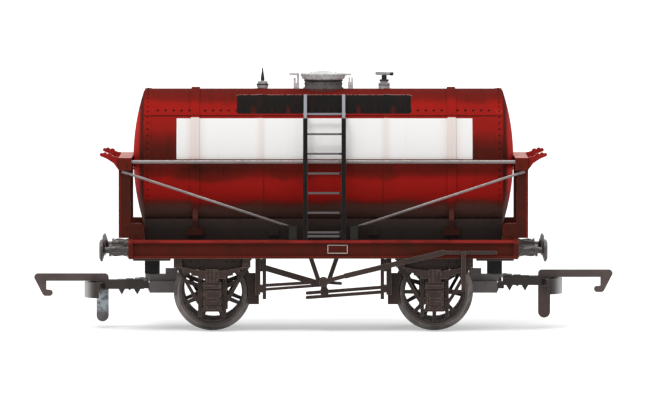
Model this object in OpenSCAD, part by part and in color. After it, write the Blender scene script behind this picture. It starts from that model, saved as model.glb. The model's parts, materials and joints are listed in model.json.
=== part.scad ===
// Model railway tank wagon, 4 mm to the foot: a four-wheel underframe that carries a
// riveted tank, with spoked wheels on pinpoint axles and hook-and-bar couplings.
// X runs along the wagon with +X at the front, Y across it and Z up from the floor.
// The origin is on the floor, under the middle of the wagon.

/* [Underframe] */
// Length over the headstocks
frame_len = 70; // [64:0.5:80]
// Half width to the outer edge of the solebar flanges
solebar_y = 14.8; // [14.4:0.1:15.6]
// Height of the solebar's underside
solebar_z = 13.25; // [12.8:0.05:13.6]
// Depth of the solebar channel
solebar_h = 3.3; // [3:0.1:4]
// Half width of the headstocks
headstock_y = 15; // [14.8:0.1:16]
// Thickness of the headstocks
headstock_t = 0.8; // [0.6:0.1:1.4]

/* [Tank] */
// Radius of the tank barrel
tank_r = 12.5; // [12:0.1:12.6]
// Height of the tank's centre line
tank_z = 30.9; // [30.8:0.05:31.1]
// Half length of the tank's straight barrel
barrel_half = 32.3; // [28:0.1:32.3]
// Half length over the dished ends
tank_half = 34.4; // [34:0.05:34.4]
// Radius of the knuckle between barrel and dished end
knuckle_r = 0.8; // [0.4:0.1:1.5]
// Distance of each holding band from the middle
band_x = 23.1; // [20:0.1:26]
// Width of the holding bands
band_w = 1.5; // [1:0.1:2]
// Thickness of the holding bands
band_t = 0.3; // [0.2:0.05:0.35]

/* [Fittings] */
// Radius of the manhole neck
manhole_r = 3.4; // [2.8:0.1:3.6]
// Distance of the valves from the middle
valve_x = 11; // [9:0.1:14]
// Offset of the ladders towards the front
ladder_x = 0.2; // [0:0.1:0.5]
// Half width over the ladder stiles
ladder_half = 3.85; // [3.4:0.05:4.4]
// Spacing of the ladder rungs
rung_pitch = 3.53; // [3:0.01:3.53]
// Radius of the straight tie rods
tie_r = 0.3; // [0.2:0.05:0.3]
// Radius of the diagonal tie rods
diagonal_r = 0.22; // [0.15:0.01:0.25]

/* [Running gear] */
// Distance between the axles
wheelbase = 40; // [38:0.5:42]
// Radius over the wheel flanges
flange_r = 7; // [6.8:0.05:7]
// Radius of the wheel treads
tread_r = 6.25; // [5.8:0.05:6.3]
// Distance between the backs of the wheels
back_to_back = 14.5; // [14.3:0.1:14.8]
// Width of the wheel rims
rim_w = 2.7; // [2.4:0.1:2.8]
// Number of spokes in a wheel
spokes = 8; // [6:1:10]
// Radius of the axle
axle_r = 1; // [0.75:0.05:1]
// Length of the axle over its points
axle_len = 26; // [25.6:0.1:26]

/* [Ends] */
// Half width between the buffer centres
buffer_y = 11.4; // [11:0.1:12]
// Height of the buffer centres
buffer_z = 14.6; // [14.2:0.1:14.8]
// Reach of the buffer heads from the middle
buffer_x = 40.3; // [39.5:0.1:41]
// Radius of the buffer heads
buffer_r = 2; // [1.8:0.05:2.3]
// Distance of each coupling's swing pivot from the middle
swing_x = 31; // [30.8:0.1:31.2]
// Length of a coupling from its swing pivot to the tip of its hook
coupling_len = 21.4; // [21:0.1:23]
// Extra height at which the front coupling rides
front_lift = 0.7; // [0:0.1:0.8]

/* [Hidden] */
$fn = 48;

// Underframe
half_len = frame_len / 2;
inner_x = half_len - headstock_t;      // inner face of a headstock
solebar_top = solebar_z + solebar_h;
web_y = 13;                            // inner face of the solebars
flange_out = 0.5;                      // reach of the solebar flanges past the web
flange_t = 0.45;
floor_bottom = solebar_z + 1.6;
floor_top = solebar_top - 0.3;
headstock_top = solebar_top + 0.2;

// Tank
dish_r = ((tank_half - barrel_half) ^ 2 + tank_r ^ 2) / (2 * (tank_half - barrel_half)) + 0.6;
dish_x = tank_half - dish_r;           // centre of the dish on the tank's axis
knuckle_x = dish_x + sqrt((dish_r - knuckle_r) ^ 2 - (tank_r - knuckle_r) ^ 2);
tank_fit = 0.02;                       // gap between the barrel and what holds it
band_end = 45;                         // angle below level at which a band leaves the barrel
bearer_y0 = 6;
bearer_y1 = 8.2;                       // outer face of the bearers under the barrel
bearer_top = 20.1;
foot_z = 17.2;                         // underside of the band feet
foot_h = 1.3;
block_x = 9;                           // middle brackets

// End frames
post_in = 34.7;
post_out = 36.8;
beam_in = 34.45;
post_y0 = 10.4;
post_y1 = 13.2;
beam_z0 = 29.1;
beam_z1 = 31.35;
beam_y = 14;
knee_x = 32.2;
knee_top = 19.5;

// Ladders and rods
ladder_y = 14.3;
stile_w = 0.8;
stile_t = 0.6;
ladder_bend_z = 38.3;
top_rung_y = 12.3;
first_rung_z = 17.8;
tie_y = post_y1 + tie_r;
tie_z = 30.6;
diagonal_y = post_y1 + diagonal_r;
rod_foot_x = 6.2;

// Running gear
axle_x = wheelbase / 2;
axle_z = flange_r;
wheel_back = back_to_back / 2;
wheel_front = wheel_back + rim_w;
iron_y0 = 12;
iron_y1 = 12.7;
iron_top = solebar_z;
leg_bottom = 2.7;                      // ends of the W-iron legs
box_bottom = 3.7;                      // underside of the axleboxes
box_y = 14.4;
spring_r = 20.5;                       // radius of the leaf spring's curve
leaf_t = 0.38;
leaf_top = 11;                         // top of the spring at the axle

// Brake gear
shaft_z = 9;
shaft_y = 9.5;                         // inner end of the brake shaft
lever_y0 = 15.1;
lever_y1 = 15.5;
guard_x = 25.15;
lever_z = 14.4;                        // height of the handle along the solebar
rigging_y = 11.2;

// Couplings, measured from the middle of the wagon
hook_pivot_x = swing_x + 9;
hook_pivot_z = 7.6;
tip_x = swing_x + coupling_len;
bar_x = swing_x + 12.3;                // front face of the bumper bar
bar_bottom = 5.6;
bar_top = 8.38;                        // clear of the underside of the hook
bar_half = 4.9;
bar_bow = 7.27;                        // radius of the bar's curve, seen from above
bar_t = 0.6;
cheek_y = 1.45;                        // half width of the shank and its cheeks
cheek_bottom = 7.1;
hook_half = 0.35;
pocket_floor = 6.45;
pocket_roof = 8.55;
mount_bottom = 9.9;

// Basic shapes
module block(x, y, z) {
    translate([x[0], y[0], z[0]]) cube([x[1] - x[0], y[1] - y[0], z[1] - z[0]]);
}

// An X-Z outline as a plate from y0 to y1
module plate(y0, y1) {
    translate([0, y1, 0]) rotate([90, 0, 0]) linear_extrude(y1 - y0) children();
}

// A Y-Z outline as a plate from x0 to x1
module cross_plate(x0, x1) {
    translate([x0, 0, 0]) rotate([90, 0, 90]) linear_extrude(x1 - x0) children();
}

// A bar of width w between two points of an outline, with round ends
module link(a, b, w) {
    run = norm(b - a);
    translate(a) rotate(atan2(b[1] - a[1], b[0] - a[0])) {
        translate([0, -w / 2]) square([run, w]);
        circle(d = w, $fn = 24);
        translate([run, 0]) circle(d = w, $fn = 24);
    }
}

module path(points, w) {
    for (i = [0 : len(points) - 2]) link(points[i], points[i + 1], w);
}

// A round rod between two points
module rod(a, b, r) {
    v = b - a;
    translate(a) rotate([0, acos(v[2] / norm(v)), atan2(v[1], v[0])]) cylinder(r = r, h = norm(v));
}

module both(axis) {
    children();
    mirror(axis) children();
}

module tank_space(extra = 0) {
    translate([-50, 0, tank_z]) rotate([0, 90, 0]) cylinder(r = tank_r + extra, h = 100, $fn = 96);
}

// Underframe
module underframe_floor() {
    color("#2a211e") {
        block([-inner_x, inner_x], [-web_y, web_y], [floor_bottom, floor_top]);
        both([0, 1, 0]) block([-inner_x, inner_x], [4, 4.8], [solebar_z + 0.2, floor_bottom]);
        for (x = [-10.4, 10.4])
            block([x - 0.4, x + 0.4], [-4, 4], [solebar_z + 0.2, floor_bottom]);
        both([1, 0, 0]) both([0, 1, 0]) {
            block([27.5, inner_x], [9.5, web_y], [solebar_z - 0.4, floor_bottom]);
            block([27.5, inner_x], [9.5, solebar_y - 0.4], [solebar_z - 0.4, solebar_z]);
        }
    }
}

module solebar() {
    color("#5e130c") {
        block([-inner_x, inner_x], [web_y, solebar_y - flange_out], [solebar_z, solebar_top]);
        for (z = [solebar_z, solebar_top - flange_t])
            block([-inner_x, inner_x], [web_y, solebar_y], [z, z + flange_t]);
    }
}

module headstock() {
    color("#5e130c") {
        block([inner_x, half_len], [-headstock_y, headstock_y], [solebar_z - 0.1, headstock_top]);
        block([half_len, half_len + 0.25], [-1.6, 1.6], [solebar_z + 0.6, headstock_top - 0.6]);
    }
}

// Tank
module tank_profile() {
    square([tank_r, knuckle_x]);
    translate([tank_r - knuckle_r, knuckle_x]) circle(knuckle_r);
    intersection() {
        translate([0, dish_x]) circle(dish_r, $fn = 360);
        square([(tank_r - knuckle_r) * dish_r / (dish_r - knuckle_r), tank_half + 1]);
    }
}

module tank_barrel() {
    color("#8c1712") both([1, 0, 0]) translate([0, 0, tank_z]) rotate([0, 90, 0])
        rotate_extrude($fn = 96) intersection() {
            tank_profile();
            square([tank_r, tank_half + 1]);
        }
}

module tank_band() {
    difference() {
        union() {
            cross_plate(band_x - band_w / 2, band_x + band_w / 2) difference() {
                translate([0, tank_z]) circle(tank_r + band_t, $fn = 96);
                translate([-20, 0]) square([40, tank_z - tank_r * sin(band_end)]);
            }
            both([0, 1, 0]) block([band_x - 0.45, band_x + 0.45], [bearer_y1 + 0.05, bearer_y1 + 0.9],
                [foot_z + foot_h - 0.1, tank_z - tank_r * sin(band_end - 1)]);
        }
        tank_space(tank_fit);
    }
    both([0, 1, 0])
        block([band_x - 1.5, band_x + 1.5], [bearer_y1 + 0.02, bearer_y1 + 1], [foot_z, foot_z + foot_h]);
}

module tank_bands() {
    color("#7a1510") both([1, 0, 0]) tank_band();
}

module tank_cradle() {
    color("#241a17") difference() {
        union() {
            both([0, 1, 0]) {
                block([-knee_x, knee_x], [bearer_y0, bearer_y1], [floor_top, bearer_top]);
                for (x = [-block_x, block_x])
                    block([x - 0.95, x + 0.95], [bearer_y1, bearer_y1 + 0.5], [foot_z, foot_z + foot_h]);
            }
            for (x = [-band_x, 0, band_x])
                block([x - 1.5, x + 1.5], [-bearer_y1, bearer_y1], [floor_top, 17.6]);
        }
        tank_space(tank_fit);
    }
}

// Fittings on top of the tank
module manhole_neck() {
    color("#6f6d6c") difference() {
        union() {
            translate([0, 0, tank_z]) cylinder(r = manhole_r, h = 45 - tank_z);
            translate([0, 0, tank_z]) cylinder(r = manhole_r + 0.25, h = tank_r + 0.2);
        }
        tank_space();
    }
}

module lid_profile() {
    polygon([
        [0, 45], [3.5, 45], [3.85, 45.2], [4.2, 46.05], [4, 46.15], [3.3, 45.85], [2.6, 45.75],
        [0, 45.75]
    ]);
    intersection() {
        translate([0, 41.32]) circle(5.35, $fn = 96);
        translate([0, 45.6]) square([3, 2]);
    }
}

module manhole_lid() {
    color("#a5a4a3") {
        rotate_extrude() lid_profile();
        block([3.9, 5.05], [-0.45, 0.45], [45.75, 46.1]);
    }
}

module lid_clamps() {
    color("#8f8d8b") difference() {
        union() {
            block([-5.4, -4.35], [-0.5, 0.5], [tank_z + 10, 44.4]);
            block([-5.4, -5], [-0.3, 0.3], [44.4, 45.3]);
            block([-4.8, -4.35], [-0.3, 0.3], [44.4, 46.2]);
            plate(-0.25, 0.25) link([-4.7, 45.95], [-6, 46], 0.4);
            block([4.45, 5.4], [-0.5, 0.5], [tank_z + 10, 44.6]);
            for (x = [4.55, 5.05]) block([x, x + 0.3], [-0.3, 0.3], [44.6, 45.4]);
        }
        tank_space();
    }
}

module vent_valve() {
    color("#b4b2b0") translate([-valve_x, 0, 0]) difference() {
        union() {
            translate([0, 0, tank_z + 11]) cylinder(r = 0.9, h = 2.8);
            translate([0, 0, 43.6]) cylinder(r = 1.05, h = 0.7);
            translate([0, 0, 44.3]) cylinder(r1 = 0.5, r2 = 0.34, h = 0.55);
            translate([0, 0, 44.85]) cylinder(r1 = 0.3, r2 = 0.1, h = 2.3);
        }
        tank_space();
    }
}

module relief_valve() {
    color("#a5a4a3") translate([valve_x, 0, 0]) difference() {
        union() {
            translate([0, 0, tank_z + 11]) cylinder(r = 1.03, h = 2.55);
            translate([0, 0, 44.4]) cylinder(r = 0.7, h = 0.3);
            translate([0, 0, 44.65]) cylinder(r = 0.85, h = 0.4);
            translate([0, 0, 45]) cylinder(r = 0.4, h = 1);
            plate(-0.4, 0.4) link([-1.35, 46.12], [1.3, 46.05], 0.55);
        }
        tank_space();
    }
}

// Ladder, drawn on the left side
module stile() {
    cross_plate(ladder_half - stile_w, ladder_half)
        union() {
            link([ladder_y, solebar_top + stile_t / 2], [ladder_y, ladder_bend_z], stile_t);
            translate([ladder_y - stile_t / 2, solebar_top]) square([stile_t, 1]);
        }
    cross_plate(ladder_half - stile_w + 0.12, ladder_half - 0.12)
        path([[ladder_y, ladder_bend_z], [10.2, 40.35], [5.6, 42.2]], stile_t);
}

module ladder() {
    color("#2b2b2d") translate([ladder_x, 0, 0]) difference() {
        union() {
            both([1, 0, 0]) stile();
            for (i = [0 : 5])
                block([-ladder_half, ladder_half], [ladder_y - 0.2, ladder_y + 0.2],
                    [first_rung_z + i * rung_pitch, first_rung_z + 0.35 + i * rung_pitch]);
            block([-ladder_half, ladder_half], [top_rung_y - 0.2, top_rung_y + 0.2], [39, 39.35]);
            block([-ladder_half, ladder_half], [ladder_y - 0.3, ladder_y + 0.3], [17.1, 17.5]);
        }
        tank_space(tank_fit);
    }
}

// End frames, drawn at the front left
module end_post() {
    color("#5c120b") plate(post_y0, post_y1) {
        translate([post_in, headstock_top + 0.15])
            square([post_out - post_in, beam_z0 - headstock_top - 0.15]);
        translate([inner_x, headstock_top]) square([half_len - inner_x, 1]);
        polygon([
            [knee_x, solebar_top], [inner_x, solebar_top], [inner_x, headstock_top],
            [post_in + 0.2, headstock_top], [post_in + 0.2, knee_top],
            [knee_x + 0.5, knee_top], [knee_x, knee_top - 0.5]
        ]);
    }
}

module end_beam() {
    color("#9c1a14") block([beam_in, post_out], [-beam_y, beam_y], [beam_z0, beam_z1]);
}

module anchor_brackets() {
    color("#9c1a14") both([0, 1, 0]) {
        plate(post_y0 + 0.8, post_y1 - 0.8) {
            polygon([
                [post_out, beam_z0], [post_out + 0.4, 29.6], [post_out + 0.9, 30.3], [38.9, 31.1],
                [40.1, 31.6], [40.05, 32.1], [39.2, 32], [38.5, 31.85], [post_out + 0.75, 31.5],
                [post_out, beam_z1]
            ]);
            for (knob = [[38.5, 31.6, 0.5], [39.3, 31.85, 0.42], [39.9, 31.85, 0.32]])
                translate([knob[0], knob[1]]) circle(knob[2], $fn = 24);
        }
        translate([post_out + 1.6, post_y1 - 0.5, 31.15]) rotate([90, 0, 0]) cylinder(r = 0.34, h = 1.8);
    }
}

// Rods, drawn on the left side
module tie_rod() {
    color("#8e8c8c") rod([-beam_in, tie_y, tie_z], [beam_in, tie_y, tie_z], tie_r);
}

module diagonal_rods() {
    color("#8e8c8c") both([1, 0, 0]) {
        top = [36.2, diagonal_y + 0.03, beam_z0 - 0.22];
        elbow = [35.5, diagonal_y + 0.03, 28.65];
        foot = [rod_foot_x - 0.3, diagonal_y + 0.03, 18.9];
        rod(elbow, foot, diagonal_r);
        rod(elbow + 0.3 * (elbow - top), top, diagonal_r + 0.05);
        block([rod_foot_x - 1.4, rod_foot_x], [post_y1, ladder_y - 0.35], [solebar_top, 19.1]);
    }
}

// Running gear, drawn round an axle at x = 0 on the left side
module w_iron_outline() {
    translate([-6.6, 11.2]) square([13.2, iron_top - 11.2]);
    for (s = [-1, 1]) scale([s, 1]) {
        path([[6, 11.4], [3.2, 6.4], [2.4, 5.2]], 0.6);
        translate([1.9, leg_bottom]) square([0.65, 9]);
    }
    translate([-2.5, box_bottom]) square([5, 0.4]);
}

module w_iron() {
    color("#2e2421") plate(iron_y0, iron_y1) w_iron_outline();
}

module leaf(i) {
    half = 6.1 - i * 1.25;
    sweep = asin(half / spring_r);
    r0 = spring_r + i * leaf_t - (i > 0 ? 0.03 : 0);
    translate([0, box_y - 0.3, leaf_top + spring_r]) rotate([90, 0, 0])
        rotate([0, 0, -90 - sweep])
            rotate_extrude(angle = 2 * sweep, $fn = 96)
                translate([r0, 0]) square([leaf_t, box_y - 0.3 - iron_y1 - 0.1]);
}

module spring() {
    for (i = [0 : 3]) leaf(i);
    block([-1.1, 1.1], [iron_y1, box_y - 0.15], [9, leaf_top + 0.3]);
    for (x = [-6.2, 6.2]) block([x - 0.7, x + 0.7], [iron_y1, box_y - 0.2], [11.6, solebar_z]);
}

module springs() {
    color("#2e2421") for (x = [-axle_x, axle_x]) translate([x, 0, 0]) spring();
}

module axlebox() {
    difference() {
        union() {
            block([-1.65, 1.65], [iron_y1, box_y - 0.4], [box_bottom, 9]);
            block([-1.3, 1.3], [iron_y1, box_y], [box_bottom + 0.4, 7.4]);
            for (z = [box_bottom, 4.95, 6.4, 7.9])
                block([-1.65, 1.65], [iron_y1, box_y - 0.15], [z, z + 0.5]);
        }
        translate([0, iron_y1 - 0.01, axle_z]) rotate([-90, 0, 0]) cylinder(r1 = 0.5, r2 = 0.15, h = 0.55);
    }
}

module axleboxes() {
    color("#2e2421") for (x = [-axle_x, axle_x]) translate([x, 0, 0]) axlebox();
}

module buffer() {
    translate([0, buffer_y, buffer_z]) rotate([0, 90, 0]) {
        translate([0, 0, half_len]) cylinder(r = 1.25, h = 0.3);
        translate([0, 0, half_len + 0.3]) cylinder(r1 = 1, r2 = 0.85, h = 2.8);
        translate([0, 0, half_len + 3.1]) cylinder(r = 1.1, h = 0.45);
        translate([0, 0, half_len + 3.5]) cylinder(r = 0.55, h = buffer_x - half_len - 4);
        translate([0, 0, buffer_x - 1.05]) cylinder(r1 = 0.55, r2 = buffer_r, h = 0.45);
        translate([0, 0, buffer_x - 0.6]) cylinder(r = buffer_r, h = 0.35);
        translate([0, 0, buffer_x - 0.25]) cylinder(r1 = buffer_r, r2 = buffer_r - 0.5, h = 0.25);
    }
}

module buffers() {
    color("#35302e") both([0, 1, 0]) buffer();
}

// Brake gear
module brake_hanger() {
    color("#2e2421") {
        plate(-12.9, -12.3) {
            path([[-2.5, solebar_z + 0.8], [-0.8, shaft_z], [0.9, shaft_z], [2.65, solebar_z + 0.8]], 0.8);
            translate([0, shaft_z]) circle(0.9);
            link([0, shaft_z], [0.2, 7.25], 1.1);
            translate([0.2, 7.25]) circle(0.8);
        }
        translate([0, -shaft_y, shaft_z]) rotate([90, 0, 0]) cylinder(r = 0.45, h = lever_y0 - shaft_y);
    }
}

// The right-hand lever, whose handle runs to the front
module brake_lever() {
    color("#2e2421") plate(-lever_y1, -lever_y0) {
        path([[0.2, shaft_z + 0.2], [4, shaft_z + 1.2]], 0.75);
        path([[4, shaft_z + 1.2], [21.5, lever_z]], 0.95);
        path([[21.5, lever_z], [30.9, lever_z]], 0.6);
        translate([0, shaft_z]) circle(0.8);
    }
}

// A strap folded up on both sides of the lever
module lever_guard() {
    color("#2e2421") {
        for (y = [[-15.95, -15.6], [-15, -solebar_y]])
            block([guard_x - 0.4, guard_x + 0.4], y, [7.4, 14.5]);
        block([guard_x - 0.4, guard_x + 0.4], [-15.95, -solebar_y], [7.4, 7.8]);
    }
}

// Hangers and shoes on the right side; the shoes stand off the treads, outside the flanges
module brake_shoes() {
    for (s = [-1, 1]) {
        difference() {
            plate(-wheel_front, -8.4) scale([s, 1])
                polygon([[11.6, 4.8], [13.6, 4.8], [14.6, 10.4], [12.2, 10.4], [11.6, 8.6]]);
            translate([s * axle_x, 0, axle_z]) rotate([90, 0, 0])
                cylinder(r = tread_r + 0.2, h = 40, center = true, $fn = 96);
        }
        for (bar = [[10.62, 0.32, 5.8], [11.8, 0.45, 6.6]])
            block([s * bar[0] - bar[1], s * bar[0] + bar[1]], [-rigging_y - 0.35, -8.4],
                [bar[2], floor_bottom]);
        block([s * 11.2 - 0.9, s * 11.2 + 0.9], [-rigging_y - 0.35, -8.4], [7, 8.3]);
        block([s * 11.3 - 0.9, s * 11.3 + 0.9], [-rigging_y - 0.2, -8.4], [10.8, 12.9]);
    }
}

// Pull rods between the shaft's crank and the shoes
module pull_rods() {
    plate(-rigging_y - 0.35, -rigging_y + 0.35) {
        path([[-10.2, 8.3], [-0.5, 8.9], [3.1, 8.64]], 0.55);
        link([-10.2, 7.57], [-0.5, 8.3], 0.5);
        link([-10.2, 11.35], [-0.8, 8.6], 1.05);
        link([-2.9, 6.9], [10.6, 7.95], 0.6);
        link([-2.9, 6.1], [10.6, 7.1], 0.6);
        link([0.1, 6.8], [0.1, 8.2], 1.1);
    }
}

module brake_rigging() {
    color("#2e2421") {
        brake_shoes();
        difference() {
            pull_rods();
            translate([0, 0, shaft_z]) rotate([90, 0, 0]) cylinder(r = 0.46, h = 40, center = true);
        }
    }
}

// Couplings, drawn at the front
module coupling_mount() {
    block([swing_x - 1.35, swing_x + 1.35], [-1.6, 1.6], [mount_bottom, floor_bottom]);
    translate([swing_x, 0, pocket_roof + 0.3]) cylinder(r = 0.7, h = 2);
}

module coupling_mounts() {
    color("#161414") both([1, 0, 0]) coupling_mount();
}

module coupling_pocket() {
    color("#55514f") difference() {
        union() {
            block([swing_x - 4.6, swing_x + 0.5], [-2.1, 2.1], [pocket_floor, pocket_roof]);
            block([swing_x - 4.6, swing_x + 0.5], [-1.3, 1.3], [pocket_roof, mount_bottom - 0.12]);
            translate([swing_x, 0, pocket_roof]) cylinder(r = 1.3, h = mount_bottom - 0.12 - pocket_roof);
            block([swing_x - 4.6, swing_x - 2.4], [-1.2, 1.2], [pocket_roof, 10.8]);
        }
        block([swing_x - 2.9, swing_x + 0.6], [-1.65, 1.65], [pocket_floor + 0.3, pocket_roof - 0.35]);
        translate([swing_x, 0, pocket_roof]) cylinder(r = 0.8, h = 3);
    }
}

module pivot_pin(r) {
    translate([hook_pivot_x, cheek_y, hook_pivot_z]) rotate([90, 0, 0]) cylinder(r = r, h = 2 * cheek_y);
}

// The bowed bar across the end, with a gap behind it for the other wagon's hook
module bumper() {
    intersection() {
        translate([bar_x - bar_bow, 0, bar_bottom]) difference() {
            cylinder(r = bar_bow, h = bar_top - bar_bottom, $fn = 96);
            translate([0, 0, -1]) cylinder(r = bar_bow - bar_t, h = 6, $fn = 96);
        }
        block([bar_x - 3, bar_x + 1], [-bar_half, bar_half], [bar_bottom - 1, bar_top + 1]);
    }
}

// Arms from the shank's cheeks to the ends of the bar
module arms_outline() {
    both([0, 1, 0]) polygon([
        [hook_pivot_x - 0.6, 1], [hook_pivot_x + 0.6, 1], [hook_pivot_x + 1, 3.9],
        [bar_x - 1.6, 3.95], [bar_x - 2.3, bar_half - 0.1], [hook_pivot_x + 0.3, bar_half - 0.2]
    ]);
}

module coupling_bar(lift) {
    color("#221d1b") {
        difference() {
            union() {
                block([swing_x - 2.3, swing_x + 0.7], [-1.6, 1.6], [pocket_floor + 0.35, pocket_roof - 0.4]);
                block([swing_x + 0.65, swing_x + 1.7], [-1.45, 1.45], [7.2, pocket_roof - 0.1]);
                translate([0, 0, lift]) {
                    block([swing_x + 1.5, hook_pivot_x + 0.8], [-cheek_y, cheek_y], [cheek_bottom, bar_top]);
                    translate([0, 0, cheek_bottom])
                        linear_extrude(bar_top - 0.1 - cheek_bottom) arms_outline();
                    translate([swing_x + 4.1, 0, bar_top - 0.1]) cylinder(r = 1, h = 0.35);
                    for (x = [2.7, 5.5], y = [-cheek_y, 0.6]) plate(y, y + 0.85)
                        polygon([[swing_x + x - 0.65, 7.2], [swing_x + x, 6.05], [swing_x + x + 0.65, 7.2]]);
                    for (y = [-cheek_y, 0.6]) plate(y, y + 0.85)
                        polygon([[swing_x + 3.7, 7.2], [swing_x + 4.1, 6.85], [swing_x + 4.5, 7.2]]);
                    bumper();
                }
            }
            block([hook_pivot_x - 2.5, hook_pivot_x + 2], [-0.55, 0.55], [5, 12]);
        }
        translate([0, 0, lift]) pivot_pin(0.4);
    }
}

module coupling_hook(lift) {
    color("#3a3331") translate([0, 0, lift]) difference() {
        plate(-hook_half, hook_half) {
            link([hook_pivot_x - 0.4, 9.2], [tip_x - 0.68, 9.2], 1.36);
            polygon([
                [tip_x - 2.8, 5.8], [tip_x - 1.9, 5.78], [tip_x - 1.55, 6.05], [tip_x - 0.12, 8.85],
                [tip_x - 0.4, 9.5], [tip_x - 2.2, 8.7], [tip_x - 2.2, 6.95], [tip_x - 2.8, 6.9]
            ]);
            translate([tip_x - 2.8, 6.35]) circle(0.56, $fn = 24);
            translate([hook_pivot_x - 1.1, 7.4]) square([2.2, 1.9]);
            link([hook_pivot_x, 7.6], [hook_pivot_x, 2.25], 2.2);
        }
        pivot_pin(0.45);
    }
}

// Wheelsets, drawn round an axle at x = 0
module axle() {
    point = 1.6;
    color("#8a8680") translate([0, 0, axle_z]) rotate([90, 0, 0]) both([0, 0, 1]) {
        cylinder(r = axle_r, h = axle_len / 2 - point);
        translate([0, 0, axle_len / 2 - point]) cylinder(r1 = axle_r, r2 = 0.15, h = point);
    }
}

module rim_profile() {
    polygon([
        [5.3, wheel_back], [flange_r - 0.25, wheel_back], [flange_r, wheel_back + 0.3],
        [flange_r, wheel_back + 0.6], [tread_r + 0.1, wheel_back + 0.95],
        [tread_r, wheel_front - 0.2], [tread_r - 0.2, wheel_front], [5.55, wheel_front],
        [5.4, wheel_front - 0.35], [5.3, wheel_front - 0.35]
    ]);
}

module wheel(turn) {
    color("#3b312e") translate([0, 0, axle_z]) rotate([-90, 0, 0]) difference() {
        union() {
            rotate_extrude($fn = 96) rim_profile();
            translate([0, 0, wheel_back]) cylinder(r = 1.6, h = rim_w - 0.1);
            for (i = [0 : spokes - 1]) rotate(turn + i * 360 / spokes)
                translate([0, 0, wheel_back + 0.8]) linear_extrude(1.2)
                    polygon([[1.2, -0.45], [5.4, -0.3], [5.4, 0.3], [1.2, 0.45]]);
        }
        cylinder(r = axle_r, h = 20);
    }
}

underframe_floor();
solebar();  // solebar_left
mirror([0, 1, 0]) solebar();  // solebar_right
headstock();  // headstock_front
mirror([1, 0, 0]) headstock();  // headstock_rear
tank_barrel();
tank_bands();
tank_cradle();
manhole_neck();
manhole_lid();
lid_clamps();
vent_valve();
relief_valve();
ladder();  // ladder_left
mirror([0, 1, 0]) ladder();  // ladder_right
end_post();  // end_post_front_left
mirror([0, 1, 0]) end_post();  // end_post_front_right
mirror([1, 0, 0]) end_post();  // end_post_rear_left
rotate(180) end_post();  // end_post_rear_right
end_beam();  // end_beam_front
mirror([1, 0, 0]) end_beam();  // end_beam_rear
anchor_brackets();  // anchor_brackets_front
mirror([1, 0, 0]) anchor_brackets();  // anchor_brackets_rear
tie_rod();  // tie_rod_left
mirror([0, 1, 0]) tie_rod();  // tie_rod_right
diagonal_rods();  // diagonal_rods_left
mirror([0, 1, 0]) diagonal_rods();  // diagonal_rods_right
translate([axle_x, 0, 0]) w_iron();  // w_iron_front_left
translate([axle_x, 0, 0]) mirror([0, 1, 0]) w_iron();  // w_iron_front_right
translate([-axle_x, 0, 0]) w_iron();  // w_iron_rear_left
translate([-axle_x, 0, 0]) mirror([0, 1, 0]) w_iron();  // w_iron_rear_right
springs();  // springs_left
mirror([0, 1, 0]) springs();  // springs_right
axleboxes();  // axleboxes_left
mirror([0, 1, 0]) axleboxes();  // axleboxes_right
buffers();  // buffers_front
mirror([1, 0, 0]) buffers();  // buffers_rear
brake_hanger();
brake_lever();
brake_rigging();
lever_guard();
coupling_mounts();
coupling_pocket();  // coupling_pocket_front
mirror([1, 0, 0]) coupling_pocket();  // coupling_pocket_rear
coupling_bar(front_lift);  // coupling_bar_front
mirror([1, 0, 0]) coupling_bar(0);  // coupling_bar_rear
coupling_hook(front_lift);  // coupling_hook_front
mirror([1, 0, 0]) coupling_hook(0);  // coupling_hook_rear
translate([axle_x, 0, 0]) axle();  // axle_front
translate([-axle_x, 0, 0]) axle();  // axle_rear
translate([axle_x, 0, 0]) wheel(16);  // wheel_front_left
translate([axle_x, 0, 0]) mirror([0, 1, 0]) wheel(0);  // wheel_front_right
translate([-axle_x, 0, 0]) wheel(22.5);  // wheel_rear_left
translate([-axle_x, 0, 0]) mirror([0, 1, 0]) wheel(22.5);  // wheel_rear_right
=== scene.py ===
import bpy, json, math
from mathutils import Matrix, Vector


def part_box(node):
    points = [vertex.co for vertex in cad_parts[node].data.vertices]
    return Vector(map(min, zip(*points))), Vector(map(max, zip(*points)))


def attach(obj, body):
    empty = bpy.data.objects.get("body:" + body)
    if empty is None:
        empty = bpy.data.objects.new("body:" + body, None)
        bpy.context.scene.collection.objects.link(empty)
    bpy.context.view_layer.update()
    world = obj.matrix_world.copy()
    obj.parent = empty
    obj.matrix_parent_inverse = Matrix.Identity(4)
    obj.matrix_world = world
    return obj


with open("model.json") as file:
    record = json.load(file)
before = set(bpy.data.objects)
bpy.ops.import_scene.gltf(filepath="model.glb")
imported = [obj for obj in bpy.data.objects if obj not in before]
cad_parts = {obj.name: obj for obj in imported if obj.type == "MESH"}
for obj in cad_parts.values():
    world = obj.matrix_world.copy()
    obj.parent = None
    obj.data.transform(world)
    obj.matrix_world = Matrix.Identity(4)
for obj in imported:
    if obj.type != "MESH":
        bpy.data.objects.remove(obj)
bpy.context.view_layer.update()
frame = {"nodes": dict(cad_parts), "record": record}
nodes = frame["nodes"]
mm = 0.001
perMetre = 1000.0
ends = (-1, 1)
sides = (-1, 1)
print("frame loaded:", len(nodes), "pieces")


def edges(name):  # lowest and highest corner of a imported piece, in mm
    return [[round(value / mm, 2) for value in corner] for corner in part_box(name)]


def middle(name, axis):
    low, high = edges(name)
    return (low[axis] + high[axis]) / 2


# small helpers for shader trees

def put(tree, kind, settings=None, inputs=None):
    node = tree.nodes.new(kind)
    for key, value in (settings or {}).items():
        setattr(node, key, value)
    for key, value in (inputs or {}).items():
        feed(tree, node.inputs[key], value)
    return node


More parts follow.
